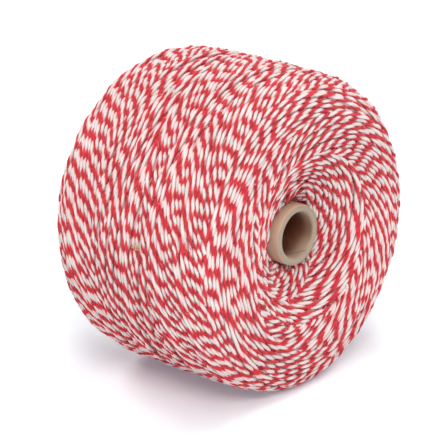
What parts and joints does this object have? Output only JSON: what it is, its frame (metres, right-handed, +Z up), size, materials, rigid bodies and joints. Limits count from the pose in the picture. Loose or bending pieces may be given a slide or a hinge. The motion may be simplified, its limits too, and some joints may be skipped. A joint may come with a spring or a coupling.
{
  "type": "spool of cotton cord",
  "caption": "Spool of red and white twisted cotton macrame cord, cross-wound on a plain cardboard tube, lying on its side.",
  "frame": {"origin": "bottom centre of the spool as it lies on its curved side", "axes": "+X along the tube's axis, towards the front face; +Z up"},
  "size_m": [0.0774, 0.116, 0.1146],
  "materials": {
    "cotton_cord": "matte two-ply twisted cotton, one ply red and one off-white",
    "cardboard": "plain matte greyboard with a spiral seam"
  },
  "bodies": {
    "root": {"winding": "cotton_cord", "tube": "cardboard"}
  },
  "joints": []
}
